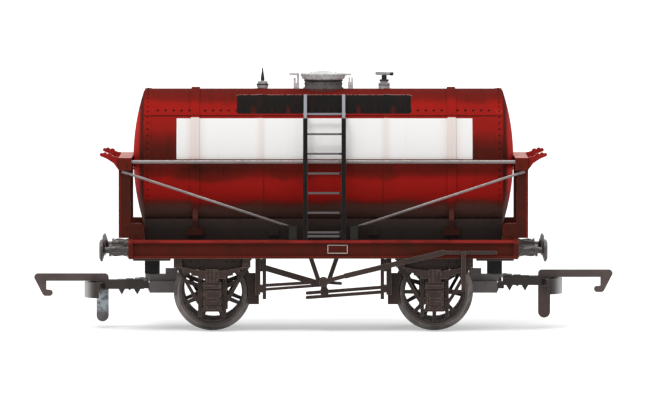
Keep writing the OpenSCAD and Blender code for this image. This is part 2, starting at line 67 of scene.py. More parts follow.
def feed(tree, socket, value):
    if isinstance(value, bpy.types.NodeSocket):
        tree.links.new(value, socket)
    elif socket.type == "RGBA" and len(value) == 3:
        socket.default_value = (*value, 1)
    else:
        socket.default_value = value


def calc(tree, operation, *values, clamp=False):
    node = put(tree, "ShaderNodeMath", {"operation": operation, "use_clamp": clamp})
    for socket, value in zip(node.inputs, values):
        feed(tree, socket, value)
    return node.outputs[0]


def times(tree, first, second, clamp=False):
    return calc(tree, "MULTIPLY", first, second, clamp=clamp)


def plus(tree, first, second, clamp=False):
    return calc(tree, "ADD", first, second, clamp=clamp)


def minus(tree, first, second):
    return calc(tree, "SUBTRACT", first, second)


def distance(tree, *parts):  # from a centre, by its two parts
    squares = [calc(tree, "POWER", part, 2.0) for part in parts]
    return calc(tree, "SQRT", plus(tree, *squares))


def blendColour(tree, factor, first, second):
    node = put(tree, "ShaderNodeMix", {"data_type": "RGBA"})
    for index, value in ((0, factor), (6, first), (7, second)):
        feed(tree, node.inputs[index], value)
    return node.outputs[2]


def spread(tree, value, low, high, outLow=0.0, outHigh=1.0, kind="SMOOTHSTEP"):
    inputs = {"Value": value, "From Min": low, "From Max": high, "To Min": outLow, "To Max": outHigh}
    return put(tree, "ShaderNodeMapRange", {"interpolation_type": kind}, inputs).outputs[0]


def noise(tree, coords, scale, detail=4.0, rough=0.55):
    inputs = {"Vector": coords, "Scale": scale, "Detail": detail, "Roughness": rough}
    return put(tree, "ShaderNodeTexNoise", None, inputs).outputs[0]


def patches(tree, coords, look):  # noise with more contrast: scale, detail, low, high and what those two give
    scale, detail, *levels = look
    return spread(tree, noise(tree, coords, scale, detail), *levels)


def stretch(tree, coords, scale):
    return put(tree, "ShaderNodeMapping", None, {"Vector": coords, "Scale": scale}).outputs[0]


def curve(tree, value, points):
    node = put(tree, "ShaderNodeFloatCurve", None, {"Value": value})
    line = node.mapping.curves[0]
    line.points[0].location, line.points[1].location = points[0], points[-1]
    for x, y in points[1:-1]:
        line.points.new(x, y)
    node.mapping.update()
    return node.outputs[0]


def newGroup(name, inputs, outputs):
    tree = bpy.data.node_groups.new(name, "ShaderNodeTree")
    for label, value in inputs.items():
        socket = tree.interface.new_socket(label, in_out="INPUT", socket_type="NodeSocketFloat")
        socket.default_value = value
    for label in outputs:
        tree.interface.new_socket(label, in_out="OUTPUT", socket_type="NodeSocketFloat")
    return tree, tree.nodes.new("NodeGroupInput").outputs, tree.nodes.new("NodeGroupOutput").inputs


def useGroup(tree, group, inputs=None):
    return put(tree, "ShaderNodeGroup", {"node_tree": group}, inputs).outputs


def objectCoords(tree):
    return put(tree, "ShaderNodeTexCoord").outputs["Object"]


def placeInMm(tree):  # along, across and up from the middle of the wagon at floor level
    inputs = {0: objectCoords(tree), "Scale": perMetre}
    scaled = put(tree, "ShaderNodeVectorMath", {"operation": "SCALE"}, inputs)
    return put(tree, "ShaderNodeSeparateXYZ", None, {0: scaled.outputs[0]}).outputs


def startMaterial(name):
    material = bpy.data.materials.new(name)
    material.use_nodes = True
    return material, material.node_tree, material.node_tree.nodes["Principled BSDF"]


def reopen(material):  # to add to a finish that is already made
    tree = material.node_tree
    base = tree.nodes["Principled BSDF"].inputs["Base Color"]
    return tree, base, base.links[0].from_socket


def addBump(tree, shader, height, strength, depth=0.05 * mm):
    bump = put(tree, "ShaderNodeBump", None, {"Height": height, "Strength": strength, "Distance": depth})
    tree.links.new(bump.outputs[0], shader.inputs["Normal"])


# effects that several finishes share

def makeEdgeWear():  # how far a rounded copy of the surface turns away from the flat one
    sizes = {"Radius": 0.1 * mm, "Start": 0.02, "End": 0.2, "Breakup": 900.0}
    tree, given, out = newGroup("edgeWear", sizes, ["Mask"])
    bevel = put(tree, "ShaderNodeBevel", {"samples": 4}, {"Radius": given["Radius"]})
    flat = put(tree, "ShaderNodeNewGeometry").outputs["Normal"]
    same = put(tree, "ShaderNodeVectorMath", {"operation": "DOT_PRODUCT"}, {0: bevel.outputs[0], 1: flat})
    chips = patches(tree, objectCoords(tree), (given["Breakup"], 3.0, 0.3, 0.65, 0.15, 1.6))
    turn = times(tree, minus(tree, 1.0, same.outputs["Value"]), chips)
    tree.links.new(spread(tree, turn, given["Start"], given["End"]), out["Mask"])
    return tree


def makeGrime():  # blotches, and a layer on faces that look up, which some finishes use for dust and others for a painted highlight on top faces
    sizes = {"Scale": 150.0, "Low": 0.45, "High": 0.7, "TopLayer": 0.5}
    tree, given, out = newGroup("grime", sizes, ["Blotches", "DustAndHighlight"])
    coords = objectCoords(tree)
    broad = noise(tree, coords, given["Scale"], 6.0, 0.6)
    tree.links.new(spread(tree, broad, given["Low"], given["High"]), out["Blotches"])
    geometry = put(tree, "ShaderNodeNewGeometry")
    up = put(tree, "ShaderNodeSeparateXYZ", None, {0: geometry.outputs["Normal"]}).outputs[2]
    fine = patches(tree, coords, (1400.0, 3.0, 0.25, 0.75, 0.3, 1.0))
    dustAndTopHighlight = times(tree, spread(tree, up, 0.35, 0.95), fine)
    tree.links.new(times(tree, dustAndTopHighlight, given["TopLayer"]), out["DustAndHighlight"])
    return tree


def makeGrain():  # the fine tooth of sprayed or moulded plastic
    tree, given, out = newGroup("fineGrain", {"Scale": 5000.0, "Mottle": 700.0}, ["Height", "Mottle"])
    coords = objectCoords(tree)
    tooth = noise(tree, coords, given["Scale"], 3.0, 0.7)
    mottle = noise(tree, coords, given["Mottle"], 4.0, 0.6)
    tree.links.new(plus(tree, times(tree, tooth, 0.6), times(tree, mottle, 0.4)), out["Height"])
    tree.links.new(mottle, out["Mottle"])
    return tree


def makeStreaks():  # runs of dirt that go straight down, so many mm wide
    tree, given, out = newGroup("streaks", {"Width": 0.5, "Low": 0.5, "High": 0.75}, ["Mask"])
    coords = stretch(tree, objectCoords(tree), (1.0, 0.12, 0.06))
    runs = noise(tree, coords, calc(tree, "DIVIDE", perMetre, given["Width"]), 4.0, 0.6)
    tree.links.new(spread(tree, runs, given["Low"], given["High"]), out["Mask"])
    return tree


def makeTankWrap():  # place on the barrel: along it and round it from level in mm, and its angle in degrees
    sizes = {"Centre Height": 30.9, "Radius": 12.5}
    tree, given, out = newGroup("tankWrap", sizes, ["Along", "Around", "Angle"])
    place = placeInMm(tree)
    rise = minus(tree, place[2], given["Centre Height"])
    turn = calc(tree, "ARCTAN2", rise, calc(tree, "ABSOLUTE", place[1]))
    tree.links.new(place[0], out["Along"])
    tree.links.new(times(tree, turn, given["Radius"]), out["Around"])
    tree.links.new(times(tree, turn, 180 / math.pi), out["Angle"])
    return tree


def makePanel():  # a rectangle with rounded corners laid on the wrapped barrel, in mm
    sizes = {"Along": 0.0, "Around": 0.0, "Middle": 0.0, "Centre": 0.0, "Half Length": 10.0,
             "Half Height": 3.0, "Corner": 0.1, "Softness": 0.06}
    tree, given, out = newGroup("panelMask", sizes, ["Mask", "Edge"])
    reach = []
    for place, centre, half in (("Along", "Middle", "Half Length"), ("Around", "Centre", "Half Height")):
        away = calc(tree, "ABSOLUTE", minus(tree, given[place], given[centre]))
        past = plus(tree, minus(tree, away, given[half]), given["Corner"])
        reach.append(calc(tree, "MAXIMUM", past, 0.0))
    outside = minus(tree, distance(tree, *reach), given["Corner"])
    halfSoft = times(tree, given["Softness"], 0.5)
    tree.links.new(spread(tree, outside, halfSoft, times(tree, halfSoft, -1.0)), out["Mask"])
    tree.links.new(outside, out["Edge"])
    return tree


def makeZoneMask():  # a soft-edged band between two places along one direction, in mm
    sizes = {"Place": 0.0, "Low": 0.0, "High": 1.0, "Softness": 0.1, "Amount": 1.0}
    tree, given, out = newGroup("zoneMask", sizes, ["Mask"])
    rise = spread(tree, given["Place"], given["Low"], plus(tree, given["Low"], given["Softness"]))
    fall = spread(tree, given["Place"], given["High"], minus(tree, given["High"], given["Softness"]))
    tree.links.new(times(tree, times(tree, rise, fall), given["Amount"]), out["Mask"])
    return tree


edgeWear = makeEdgeWear()
grime = makeGrime()
fineGrain = makeGrain()
streaks = makeStreaks()
tankWrap = makeTankWrap()
panelMask = makePanel()
zoneMask = makeZoneMask()
print("shared effects ready")

# tank paint: places along the tank in mm from the middle, angles in degrees above level

tank = {"centre": middle("tank_barrel", 2), "seamX": 10.9, "bandX": 23.1}
tank["radius"] = edges("tank_barrel")[1][2] - tank["centre"]
tankEffects = {"grime": {"Scale": 90.0, "Low": 0.35, "High": 0.75, "TopLayer": 0.25},
               "streaks": {"Width": 1.1, "Low": 0.5, "High": 0.72},
               "edgeWear": {"Radius": 0.12 * mm, "Start": 0.01, "End": 0.2}}
tankLook = {
    # end: a brighter red for the dished ends, a painted highlight
    "clean": (0.37, 0.0125, 0.0095), "end": (0.62, 0.016, 0.013), "faded": (0.50, 0.05, 0.045),
    # grime is the brown of the painted shade low on the barrel
    "sootAndShade": (0.030, 0.012, 0.008), "grime": (0.115, 0.062, 0.050), "shine": 0.01, "bump": 0.12,
    "rough": 0.55, "sootAndShadeRough": 0.15, "mottleRough": 0.12,
    # the darkness by angle is painted light and shade: lighter bands where the barrel meets the light, darker
    # bands where it turns away and underneath
    "paintedShadeByAngle": ((-90, 0.8), (-46, 0.78), (-38, 0.45), (-30, 0.08), (-22, 0.08), (-16, 0.48),
                    (-10, 0.72), (3, 0.88), (10, 0.80), (20, 0.52), (30, 0.26), (38, 0.22),
                    (47, 0.14), (56, 0.44), (68, 0.66), (90, 0.72)),
    "lowShadeByAngle": ((-90, 1.0), (-50, 1.0), (-34, 0.0), (90, 0.0)),
    "wobble": 7.0, "blotchSoot": 0.10, "runSoot": 0.08, "fading": 0.08, "edgeFading": 0.35,
    "hoops": ((32.65, 0.6, 0.9), (tank["seamX"] - 0.15, 0.35, 0.35)),  # place, half width, amount: a painted shadow at each end knuckle and painted shade beside the ring seams
    "lap": (38.7, 1.3, 0.3, 0.62),  # painted shadow line under the plates' lap: angle, outer and inner reach, amount
}
endLook = {"from": (33.0, 33.3), "sootAndShadeShare": 0.8, "stretch": (1.0, 1.0, 0.12),
           "runs": (700.0, 4.0, 0.35, 0.75), "runAmount": 0.22, "blotches": 0.3,
           "foot": (-2.0, -10.0, 0.0, 0.35), "rim": (11.6, 9.5)}
patchLook = {"Middle": 0.1, "Centre": 11.68, "Half Length": 15.7, "Half Height": 2.8, "Corner": 0.5}
# the patch's pale edge line is a painted highlight
patchPaint = {"colour": (0.014, 0.013, 0.012), "thin": 0.05, "edge": (0.36, 0.22, 0.20), "edgeAmount": 0.85,
              "edgeReach": ((0.0, 0.05), (0.3, 0.16)), "edgeAbove": (14.1, 14.2),
              "dashes": (2400.0, 1.0, 0.36, 0.5), "mark": (0.20, 0.012, 0.009),
              "marks": ((12.6, 0.7), (6.3, 0.6)), "markReach": (11.6, 9.4), "markAmount": 0.32}
panelLook = {"Middle": 0.2, "Centre": 4.05, "Half Length": 26.6, "Half Height": 3.9, "Corner": 0.08}
panelPaint = {"colour": (0.86, 0.85, 0.84), "dirt": (0.62, 0.44, 0.38), "runs": 0.05, "onBand": 0.12,
              # the panel's hoops are painted shade beside the ring seam and the band
              "hoops": ((tank["seamX"] + 0.3, 1.3, 0.28), (tank["bandX"], 2.6, 0.34)),
              "foot": (0.9, 0.1, 0.25)}


def byAngle(tree, angle, points):
    level = spread(tree, angle, -90.0, 90.0, kind="LINEAR")
    return curve(tree, level, [((degrees + 90) / 180, value) for degrees, value in points])


def hoop(tree, along, place, halfWidth, amount=1.0):  # soft stripe round the barrel, the same at both ends
    away = calc(tree, "ABSOLUTE", minus(tree, calc(tree, "ABSOLUTE", along), place))
    return times(tree, spread(tree, away, halfWidth, 0.0), amount)


# soot blotches and runs, plus painted light and shade by angle and painted shadows at the hoops and under the
# lap
def tankSootAndShade(tree, wrap, angle, dirt, runs, onEnd):
    look = tankLook
    sootAndShade = byAngle(tree, angle, look["paintedShadeByAngle"])
    sootAndShade = plus(tree, sootAndShade, times(tree, minus(tree, dirt["Blotches"], 0.5), look["blotchSoot"]))
    sootAndShade = plus(tree, sootAndShade, times(tree, runs["Mask"], look["runSoot"]), clamp=True)
    # the dished ends keep less of the soot and painted shade
    sootAndShade = times(tree, sootAndShade, minus(tree, 1.0, times(tree, onEnd, endLook["sootAndShadeShare"])))
    level, outer, inner, amount = look["lap"]
    lap = spread(tree, calc(tree, "ABSOLUTE", minus(tree, wrap["Angle"], level)), outer, inner)
    shades = [hoop(tree, wrap["Along"], *place) for place in look["hoops"]]
    for shade in (*shades, times(tree, lap, minus(tree, amount, onEnd))):
        sootAndShade = calc(tree, "MAXIMUM", sootAndShade, shade)
    return sootAndShade


def endDirt(tree, dirt, onEnd):  # runs and a darker foot on the dished ends
    look = endLook
    place = placeInMm(tree)
    up = minus(tree, place[2], tank["centre"])
    runs = patches(tree, stretch(tree, objectCoords(tree), look["stretch"]), look["runs"])
    soil = times(tree, runs, look["runAmount"])
    soil = plus(tree, soil, times(tree, dirt["Blotches"], look["blotches"]))
    soil = plus(tree, soil, spread(tree, up, *look["foot"]))
    insideRim = spread(tree, distance(tree, up, place[1]), *look["rim"])
    return times(tree, soil, times(tree, onEnd, insideRim))


def addPatch(tree, paint, wrap, runs, spot):  # the dark patch with a broken pale line along its top edge, a painted highlight, and worn marks
    look = patchPaint
    patch = useGroup(tree, panelMask, {**spot, **patchLook})
    # the pale dashed line is a painted highlight along the patch's raised top edge
    line = times(tree, *[spread(tree, patch["Edge"], *reach) for reach in look["edgeReach"]])
    line = times(tree, line, spread(tree, wrap["Around"], *look["edgeAbove"]))
    line = times(tree, line, patches(tree, objectCoords(tree), look["dashes"]))
    cover = minus(tree, 1.0, times(tree, runs["Mask"], look["thin"]))
    paint = blendColour(tree, times(tree, patch["Mask"], cover), paint, look["colour"])
    marks = plus(tree, *[hoop(tree, wrap["Along"], *place) for place in look["marks"]])
    marks = times(tree, marks, spread(tree, wrap["Around"], *look["markReach"]), clamp=True)
    marks = times(tree, times(tree, marks, patch["Mask"]), look["markAmount"])
    paint = blendColour(tree, marks, paint, look["mark"])
    return blendColour(tree, times(tree, line, look["edgeAmount"]), paint, look["edge"])


def addPanel(tree, paint, wrap, runs, spot, onBand):  # the bare pale panel, darker with dirt runs and with painted shade beside seams and bands
    look = panelPaint
    panel = useGroup(tree, panelMask, {**spot, **panelLook})
    dirtAndShade = times(tree, runs["Mask"], look["runs"])
    for place in look["hoops"]:
        dirtAndShade = plus(tree, dirtAndShade, hoop(tree, wrap["Along"], *place))
    top, bottom, amount = look["foot"]
    dirtAndShade = plus(tree, dirtAndShade, times(tree, spread(tree, wrap["Around"], top, bottom), amount))
    if onBand:
        dirtAndShade = plus(tree, dirtAndShade, look["onBand"])
    return blendColour(tree, panel["Mask"], paint, blendColour(tree, dirtAndShade, look["colour"], look["dirt"]))


def makeTankPaint(name, onBand=False, extraShade=0.0, lowShade=0.85):
    look = tankLook
    material, tree, shader = startMaterial(name)
    wrap = useGroup(tree, tankWrap, {"Centre Height": tank["centre"], "Radius": tank["radius"]})
    dirt = useGroup(tree, grime, tankEffects["grime"])
    grain = useGroup(tree, fineGrain)
    runs = useGroup(tree, streaks, tankEffects["streaks"])
    wear = useGroup(tree, edgeWear, tankEffects["edgeWear"])
    angle = plus(tree, wrap["Angle"], times(tree, minus(tree, dirt["Blotches"], 0.5), look["wobble"]))
    onEnd = spread(tree, calc(tree, "ABSOLUTE", wrap["Along"]), *endLook["from"])
    # how dark the paint is made: soot, painted light and shade, and any extra painted shade
    sootAndShade = plus(tree, tankSootAndShade(tree, wrap, angle, dirt, runs, onEnd), extraShade, clamp=True)
    # the dished ends take the brighter end red, a painted highlight for the light they catch from the side
    paint = blendColour(tree, onEnd, look["clean"], look["end"])
    paint = blendColour(tree, times(tree, grain["Mottle"], look["fading"]), paint, look["faded"])
    paint = blendColour(tree, sootAndShade, paint, look["sootAndShade"])
    paint = blendColour(tree, endDirt(tree, dirt, onEnd), paint, look["sootAndShade"])
    # painted shade on the lower barrel, in a browner dark
    low = times(tree, byAngle(tree, angle, look["lowShadeByAngle"]), minus(tree, 1.0, onEnd))
    paint = blendColour(tree, times(tree, low, lowShade), paint, look["grime"])
    paint = blendColour(tree, times(tree, wear["Mask"], look["edgeFading"]), paint, look["faded"])
    spot = {"Along": wrap["Along"], "Around": wrap["Around"]}
    paint = addPatch(tree, paint, wrap, runs, spot)
    paint = addPanel(tree, paint, wrap, runs, spot, onBand)
    tree.links.new(paint, shader.inputs["Base Color"])
    # rougher where soot and painted shade darken the paint
    rough = plus(tree, look["rough"], times(tree, sootAndShade, look["sootAndShadeRough"]))
    rough = plus(tree, rough, times(tree, grain["Mottle"], look["mottleRough"]))
    tree.links.new(rough, shader.inputs["Roughness"])
    shader.inputs["Specular IOR Level"].default_value = look["shine"]
    addBump(tree, shader, grain["Height"], look["bump"])
    return material


# finishes of moulded and metal pieces

plasticEffects = {"grime": {"Low": 0.4, "High": 0.7, "TopLayer": 1.0},
                  "edgeWear": {"Start": 0.02, "End": 0.22}, "roughSpread": 0.16, "bump": 0.2}


def makePlastic(name, base, dark, wornAndEdgeHighlight, rough=0.5, wearAndHighlightAmount=0.5, dustAndTopHighlight=(0.2, 0.17, 0.15), dustAndHighlightAmount=0.25,
                grimeScale=250.0, grimeAmount=0.6, wearRadius=0.1 * mm, metallic=0.0, shine=0.14):
    look = plasticEffects
    material, tree, shader = startMaterial(name)
    dirt = useGroup(tree, grime, {"Scale": grimeScale, **look["grime"]})
    grain = useGroup(tree, fineGrain)
    wear = useGroup(tree, edgeWear, {"Radius": wearRadius, **look["edgeWear"]})
    colour = blendColour(tree, times(tree, dirt["Blotches"], grimeAmount), base, dark)
    colour = blendColour(tree, times(tree, dirt["DustAndHighlight"], dustAndHighlightAmount), colour, dustAndTopHighlight)
    colour = blendColour(tree, times(tree, wear["Mask"], wearAndHighlightAmount), colour, wornAndEdgeHighlight)
    tree.links.new(colour, shader.inputs["Base Color"])
    level = plus(tree, rough - look["roughSpread"] / 2, times(tree, grain["Mottle"], look["roughSpread"]))
    tree.links.new(level, shader.inputs["Roughness"])
    shader.inputs["Specular IOR Level"].default_value = shine
    shader.inputs["Metallic"].default_value = metallic
    addBump(tree, shader, grain["Height"], look["bump"])
    return material


silver = {"base": (0.47, 0.465, 0.46), "dark": (0.16, 0.155, 0.15), "wornAndEdgeHighlight": (0.74, 0.74, 0.74),
          "rough": 0.36, "grimeScale": 700.0, "shine": 0.3}
# on the beams and brackets the pale top layer is mostly painted highlight, with some dust
brightRed = {"base": (0.16, 0.011, 0.007), "dark": (0.06, 0.009, 0.006), "wornAndEdgeHighlight": (0.42, 0.03, 0.024),
             "rough": 0.42, "dustAndTopHighlight": (0.78, 0.33, 0.28), "dustAndHighlightAmount": 0.95}
finishLooks = {
    # solebar: its red top layer on up-facing faces and its bright worn edges are painted highlights, with
    # some wear
    "frame_red": {"name": "solebarPaint", "base": (0.085, 0.0125, 0.007), "dark": (0.045, 0.014, 0.009),
                  "wornAndEdgeHighlight": (0.33, 0.028, 0.024), "wearAndHighlightAmount": 0.8, "dustAndTopHighlight": (0.34, 0.04, 0.035),
                  "dustAndHighlightAmount": 0.7, "shine": 0.06},
    "bracket_red": {"name": "bracketPaint", **brightRed, "wearAndHighlightAmount": 0.7, "shine": 0.08,
                    "grimeAmount": 0.8},
    "beams": {"name": "beamPaint", **brightRed, "shine": 0.06},
    # underframe: the pale worn edges are mostly painted edge highlights, with some wear
    "underframe_brown": {"name": "underframeBrown", "base": (0.046, 0.028, 0.023),
                         "dark": (0.020, 0.013, 0.011), "wornAndEdgeHighlight": (0.27, 0.205, 0.18), "rough": 0.46,
                         "wearAndHighlightAmount": 0.85, "wearRadius": 0.14 * mm, "dustAndHighlightAmount": 0.55, "shine": 0.2},
    "cradle": {"name": "cradlePaint", "base": (0.046, 0.028, 0.023), "dark": (0.020, 0.013, 0.011),
               "wornAndEdgeHighlight": (0.20, 0.15, 0.13), "rough": 0.46, "dustAndHighlightAmount": 0.3, "shine": 0.1},
    # the ladder's pale top layer is a painted highlight on the tops of rails and rungs
    "ladder_black": {"name": "ladderBlack", "base": (0.012, 0.010, 0.009), "dark": (0.007, 0.006, 0.006),
                     "wornAndEdgeHighlight": (0.11, 0.105, 0.105), "rough": 0.42, "dustAndTopHighlight": (0.36, 0.34, 0.35),
                     "dustAndHighlightAmount": 0.9, "shine": 0.08},
    "fitting_silver": {"name": "fittingSilver", "base": (0.66, 0.655, 0.65), "dark": (0.22, 0.215, 0.21),
                       "wornAndEdgeHighlight": (0.80, 0.80, 0.80), "rough": 0.36, "grimeScale": 1700.0, "wearAndHighlightAmount": 0.7,
                       "dustAndTopHighlight": (0.72, 0.72, 0.72), "dustAndHighlightAmount": 0.6, "shine": 0.3},
    "neck": {"name": "neckPaint", "base": (0.15, 0.14, 0.135), "dark": (0.05, 0.045, 0.042),
             "wornAndEdgeHighlight": (0.35, 0.34, 0.33), "grimeScale": 900.0, "grimeAmount": 0.8, "shine": 0.12},
    "vent": {"name": "ventPaint", **silver},
    "valve": {"name": "valvePaint", **silver},
    "black": {"name": "fittingBlack", "base": (0.020, 0.019, 0.019), "dark": (0.010, 0.009, 0.009),
              "wornAndEdgeHighlight": (0.22, 0.22, 0.22), "rough": 0.45, "grimeScale": 800.0, "shine": 0.15},
    # the rods' pale top layer is a painted highlight
    "rod_steel": {"name": "rodSteel", "base": (0.27, 0.235, 0.23), "dark": (0.07, 0.06, 0.056),
                  "wornAndEdgeHighlight": (0.60, 0.56, 0.55), "rough": 0.33, "grimeScale": 300.0, "grimeAmount": 0.25,
                  "dustAndTopHighlight": (0.80, 0.76, 0.75), "dustAndHighlightAmount": 1.0, "shine": 0.2},
    "buffer_metal": {"name": "bufferMetal", "base": (0.055, 0.046, 0.042), "dark": (0.02, 0.017, 0.015),
                     "wornAndEdgeHighlight": (0.42, 0.39, 0.37), "rough": 0.34, "grimeScale": 500.0,
                     "dustAndTopHighlight": (0.36, 0.33, 0.32), "dustAndHighlightAmount": 0.7, "shine": 0.4},
    "coupling_black": {"name": "couplingBlack", "base": (0.045, 0.035, 0.031), "dark": (0.018, 0.014, 0.012),
                       "wornAndEdgeHighlight": (0.24, 0.20, 0.185), "rough": 0.42, "shine": 0.3},
    "strips": {"name": "stripMetal", "base": (0.42, 0.41, 0.41), "dark": (0.12, 0.115, 0.11),
               "wornAndEdgeHighlight": (0.7, 0.7, 0.7), "rough": 0.35, "grimeScale": 700.0, "shine": 0.3},
    "pocket_grey": {"name": "pocketGrey", "base": (0.22, 0.197, 0.192), "dark": (0.10, 0.088, 0.085),
                    "wornAndEdgeHighlight": (0.40, 0.37, 0.36), "rough": 0.4, "shine": 0.25},
    "hook_metal": {"name": "hookMetal", "base": (0.085, 0.058, 0.054), "dark": (0.04, 0.028, 0.026),
                   "wornAndEdgeHighlight": (0.30, 0.26, 0.25), "rough": 0.32, "grimeScale": 350.0, "shine": 0.4},
    "wheel_metal": {"name": "wheelMetal", "base": (0.050, 0.034, 0.028), "dark": (0.018, 0.013, 0.011),
                    "wornAndEdgeHighlight": (0.26, 0.21, 0.19), "rough": 0.38, "grimeScale": 300.0, "shine": 0.3},
    "axle_steel": {"name": "axleSteel", "base": (0.24, 0.235, 0.23), "dark": (0.10, 0.095, 0.09),
                   "wornAndEdgeHighlight": (0.5, 0.5, 0.5), "rough": 0.3, "metallic": 0.8, "shine": 0.5},
    "plates": {"name": "platePaint", "base": (0.62, 0.55, 0.51), "dark": (0.40, 0.30, 0.27),
               "wornAndEdgeHighlight": (0.75, 0.72, 0.70), "grimeScale": 900.0, "grimeAmount": 0.35, "shine": 0.1},
}
# colour that changes with place, in mm: axis, low, high, softness, colour, amount
placeTints = {
    # solebar: the lighter bands on the top flange, the lower flange and the bottom edge are painted
    # highlights
    "frame_red": (("z", 15.95, 16.65, 0.12, (0.33, 0.026, 0.022), 0.85),
                  ("z", 13.5, 13.85, 0.12, (0.15, 0.016, 0.011), 0.8),
                  ("z", 12.5, 13.42, 0.08, (0.16, 0.10, 0.075), 0.6),
                  ("z", 17.0, 34.0, 0.2, (0.052, 0.012, 0.007), 0.8),
                  # a painted highlight on the outer edge of the end posts
                  ("x", 36.3, 37.2, 0.25, (0.26, 0.013, 0.009), 0.6)),
    "ladder_black": (("x", -1.0, 2.9, 0.1, (0.15, 0.135, 0.135), 0.8),
                     ("z", 38.3, 44.0, 0.8, (0.33, 0.33, 0.37), 0.8)),
    "rod_steel": (("z", 10.0, 24.5, 5.0, (0.040, 0.032, 0.030), 0.7),
                  ("z", 15.0, 19.4, 0.3, (0.009, 0.008, 0.007), 0.97)),
    "beams": (("z", 28.0, 31.0, 0.1, (0.105, 0.013, 0.007), 0.85),),
    "bracket_red": (("x", 36.9, 42.0, 0.3, (0.40, 0.016, 0.012), 0.7),),
    "cradle": (("z", 12.0, 20.5, 2.5, (0.012, 0.009, 0.008), 0.75),),
    # a pale painted reflection on the outer end of each bumper bar
    "coupling_black": (("x", 41.5, 44.5, 1.7, (0.50, 0.50, 0.51), 0.9),),
    "bands": (("z", 15.0, 20.4, 0.9, (0.034, 0.012, 0.009), 0.85),),
    "neck": (("z", 41.0, 43.5, 0.25, (0.10, 0.014, 0.010), 0.85),
             ("z", 44.72, 45.1, 0.06, (0.012, 0.011, 0.011), 0.9)),
    "vent": (("z", 44.15, 44.32, 0.04, (0.02, 0.019, 0.019), 0.8),
             ("z", 44.75, 48.0, 0.05, (0.018, 0.017, 0.017), 0.95)),
    "valve": (("z", 44.65, 45.95, 0.06, (0.018, 0.017, 0.017), 0.95),),
}
brokenLook = {"stretch": (0.35, 1.0, 1.0), "patches": (600.0, 3.0, 0.35, 0.6, 0.35, 1.0)}


def tintByPlace(material, tints, broken=False):
    tree, base, colour = reopen(material)
    place = placeInMm(tree)
    patchy = 1.0
    if broken:
        coords = stretch(tree, objectCoords(tree), brokenLook["stretch"])
        patchy = patches(tree, coords, brokenLook["patches"])
    for axis, low, high, softness, tint, amount in tints:
        where = calc(tree, "ABSOLUTE", place["xyz".index(axis)])
        zone = {"Place": where, "Low": low, "High": high, "Softness": softness, "Amount": amount}
        mask = useGroup(tree, zoneMask, zone)["Mask"]
        colour = blendColour(tree, times(tree, mask, patchy), colour, tint)
    tree.links.new(colour, base)


axle = {"x": middle("axle_front", 0), "z": middle("wheel_front_left", 2)}
wheelLook = {"patches": (450.0, 5.0, 0.3, 0.7, 0.25, 1.0),  # each zone's start and full distance, and colour
             "zones": ((5.2, 5.5, (0.125, 0.100, 0.092)), (5.95, 6.15, (0.30, 0.275, 0.265)))}


def polishTreads(material):  # the rim is greyer than the spokes and its running surface is worn bright
    tree, base, colour = reopen(material)
    place = placeInMm(tree)
    out = minus(tree, calc(tree, "ABSOLUTE", place[0]), axle["x"])
    radius = distance(tree, out, minus(tree, place[2], axle["z"]))
    patchy = patches(tree, objectCoords(tree), wheelLook["patches"])
    for start, full, tint in wheelLook["zones"]:
        colour = blendColour(tree, times(tree, spread(tree, radius, start, full), patchy), colour, tint)
    tree.links.new(colour, base)


hookLook = {"below": (7.0, 6.7), "inside": (41.6, 41.3), "brown": (0.071, 0.038, 0.030),
            "steel": (0.50, 0.555, 0.59), "blotch": (0.17, 0.19, 0.21), "blotches": (1100.0, 5.0, 0.46, 0.66),
            "tip": (0.10, 0.075, 0.068), "tipBelow": (3.8, 2.6), "tipAmount": 0.8}


def bareDropper(material):  # paint has rubbed off the strip that hangs below the bar, at the rear only
    look = hookLook
    tree, base, colour = reopen(material)
    place = placeInMm(tree)
    inside = spread(tree, calc(tree, "ABSOLUTE", place[0]), *look["inside"])
    strip = times(tree, spread(tree, place[2], *look["below"]), inside)
    blotches = patches(tree, objectCoords(tree), look["blotches"])
    steel = blendColour(tree, blotches, look["steel"], look["blotch"])
    tip = times(tree, spread(tree, place[2], *look["tipBelow"]), look["tipAmount"])
    steel = blendColour(tree, tip, steel, look["tip"])
    rear = calc(tree, "LESS_THAN", place[0], 0.0)
    dropper = blendColour(tree, rear, look["brown"], steel)
    tree.links.new(blendColour(tree, strip, colour, dropper), base)


finishes = {key: makePlastic(**look) for key, look in finishLooks.items()}
finishes["tank_red"] = makeTankPaint("tankPaint")
finishes["bands"] = makeTankPaint("bandPaint", onBand=True, lowShade=0.45)
# the rivets are painted darker all over, a painted shade for the hollow round each head
finishes["rivets"] = makeTankPaint("rivetPaint", extraShade=0.75)
for key, tints in placeTints.items():
    tintByPlace(finishes[key], tints, broken=key == "frame_red")
polishTreads(finishes["wheel_metal"])
bareDropper(finishes["hook_metal"])
print("finishes ready:", len(finishes))

slotOf = {part["node"]: part["material_slot"] for part in frame["record"]["subparts"]}
ownFinish = {"end_beam_front": "beams", "end_beam_rear": "beams", "tank_cradle": "cradle",
             "tank_bands": "bands", "manhole_neck": "neck", "vent_valve": "vent", "relief_valve": "valve",
             "coupling_mounts": "black"}
for name, piece in nodes.items():
    piece.data.materials.clear()
    piece.data.materials.append(finishes[ownFinish.get(name, slotOf[name])])

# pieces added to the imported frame, drawn in mm

def joinShapes(shapes):
    verts, faces = [], []
    for shapeVerts, shapeFaces in shapes:
        base = len(verts)
        verts += shapeVerts
        faces += [tuple(base + i for i in face) for face in shapeFaces]
    return verts, faces


def stamped(shape, places):  # a copy of one shape at each place
    verts, faces = shape
    return [([place @ Vector(v) for v in verts], faces) for place in places]


